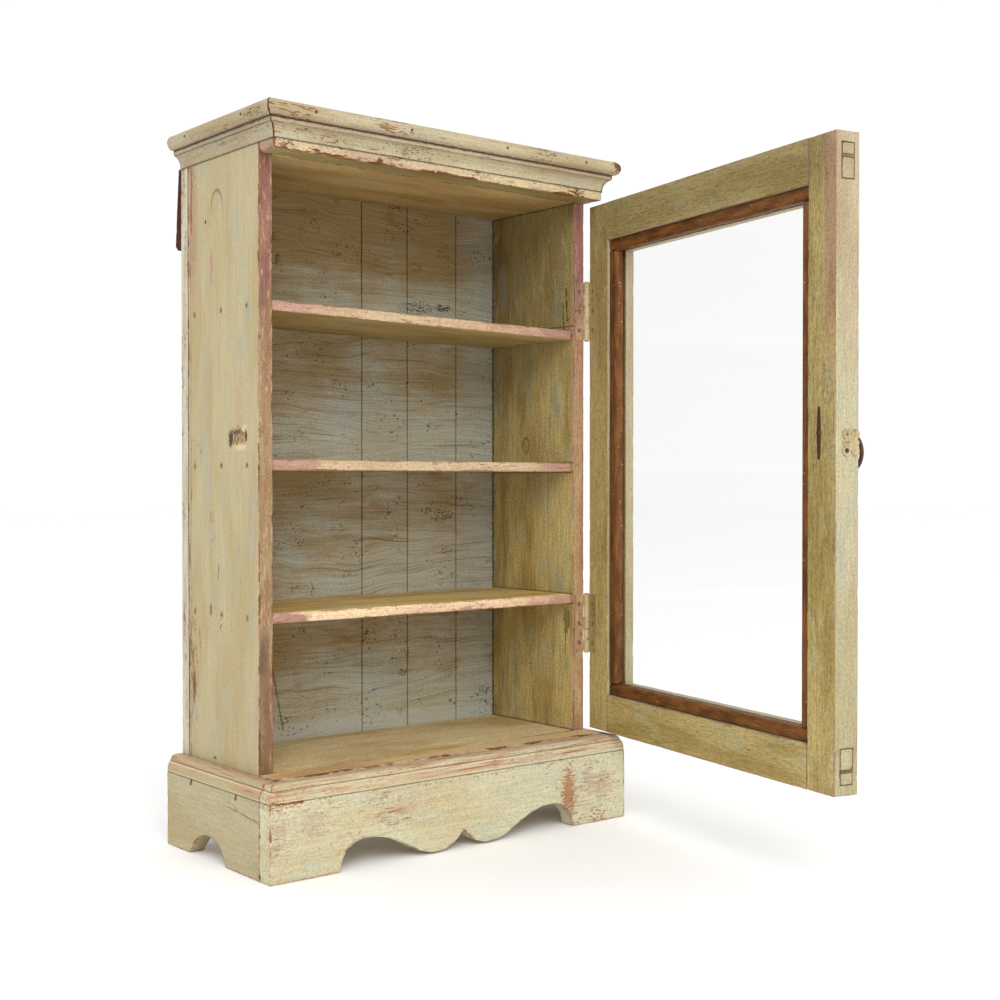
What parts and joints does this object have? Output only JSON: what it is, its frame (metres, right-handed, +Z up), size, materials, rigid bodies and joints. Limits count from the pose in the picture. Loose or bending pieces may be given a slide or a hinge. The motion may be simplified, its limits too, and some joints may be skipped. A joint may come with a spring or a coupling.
{
  "type": "glazed bookcase cabinet",
  "caption": "Small painted wooden bookcase cabinet: shelves inside, moulded cornice, scalloped plinth, and a glazed door standing open on butt hinges with a ring pull.",
  "frame": {"origin": "on the floor, under the middle of the cabinet", "axes": "+Z up; -Y is the front, where the door is; +X is the hinge side, on the viewer's right"},
  "size_m": [0.3653, 0.4663, 0.572],
  "materials": {
    "cream_paint": "worn matt cream paint over wood, with chips and grey-green tints",
    "worn_pink_paint": "rubbed pink and mauve paint on edges, with cream corners",
    "bare_olive_wood": "aged bare wood with an olive wash",
    "grey_washed_wood": "thin grey paint wiped over ochre-brown boards",
    "dark_cleat_wood": "dark reddish-brown unpainted wood",
    "khaki_door_paint": "thin khaki paint with the grain showing",
    "red_brown_wood": "dark reddish-brown unpainted wood",
    "clear_glass": "clear old window glass",
    "painted_brass": "brass painted over in cream and worn through",
    "rusted_iron": "dark brown rusted iron"
  },
  "bodies": {
    "carcass": {"left_side_panel": "cream_paint", "right_side_panel": "cream_paint", "bottom_board": "bare_olive_wood", "ceiling_board": "bare_olive_wood", "top_board": "cream_paint", "top_front_rail": "worn_pink_paint", "bottom_front_rail": "worn_pink_paint", "upper_shelf": "bare_olive_wood", "middle_shelf": "bare_olive_wood", "lower_shelf": "bare_olive_wood", "back_board_1": "grey_washed_wood", "back_board_2": "grey_washed_wood", "back_board_3": "grey_washed_wood", "back_board_4": "grey_washed_wood", "back_board_5": "grey_washed_wood", "cornice_front": "cream_paint", "cornice_left": "cream_paint", "cornice_right": "cream_paint", "plinth_front": "cream_paint", "plinth_left": "cream_paint", "plinth_right": "cream_paint", "hanging_cleat": "dark_cleat_wood", "upper_hinge_carcass_leaf": "painted_brass", "lower_hinge_carcass_leaf": "painted_brass", "upper_hinge_pin": "painted_brass", "lower_hinge_pin": "painted_brass", "carcass_leaf_screws": "painted_brass", "shelf_nails": "rusted_iron", "plinth_nails": "rusted_iron", "cornice_nails": "rusted_iron", "back_nails": "rusted_iron", "cleat_screws": "rusted_iron"},
    "door": {"door_hinge_stile": "khaki_door_paint", "door_lock_stile": "khaki_door_paint", "door_top_rail": "khaki_door_paint", "door_bottom_rail": "khaki_door_paint", "tenon_wedges": "red_brown_wood", "glass_pane": "clear_glass", "glazing_bead_top": "red_brown_wood", "glazing_bead_bottom": "red_brown_wood", "glazing_bead_hinge_side": "red_brown_wood", "glazing_bead_lock_side": "red_brown_wood", "bead_pins": "rusted_iron", "upper_hinge_door_leaf": "painted_brass", "lower_hinge_door_leaf": "painted_brass", "door_leaf_screws": "painted_brass", "edge_plate": "painted_brass", "edge_plate_nails": "rusted_iron", "pull_backplate": "rusted_iron", "pull_cotter": "rusted_iron"},
    "pull": {"pull_ring": "rusted_iron"}
  },
  "joints": [
    {"name": "door_swing", "type": "hinge", "parent": "carcass", "child": "door", "pos_m": [0.16675, -0.0452, 0.305], "axis": [0, 0, 1], "range_deg": [-78.5, 101.5]},
    {"name": "pull_swing", "type": "hinge", "parent": "door", "child": "pull", "pos_m": [0.1311, -0.35812, 0.327], "axis": [-0.1994, -0.9799, 0], "range_deg": [-8, 160]}
  ]
}
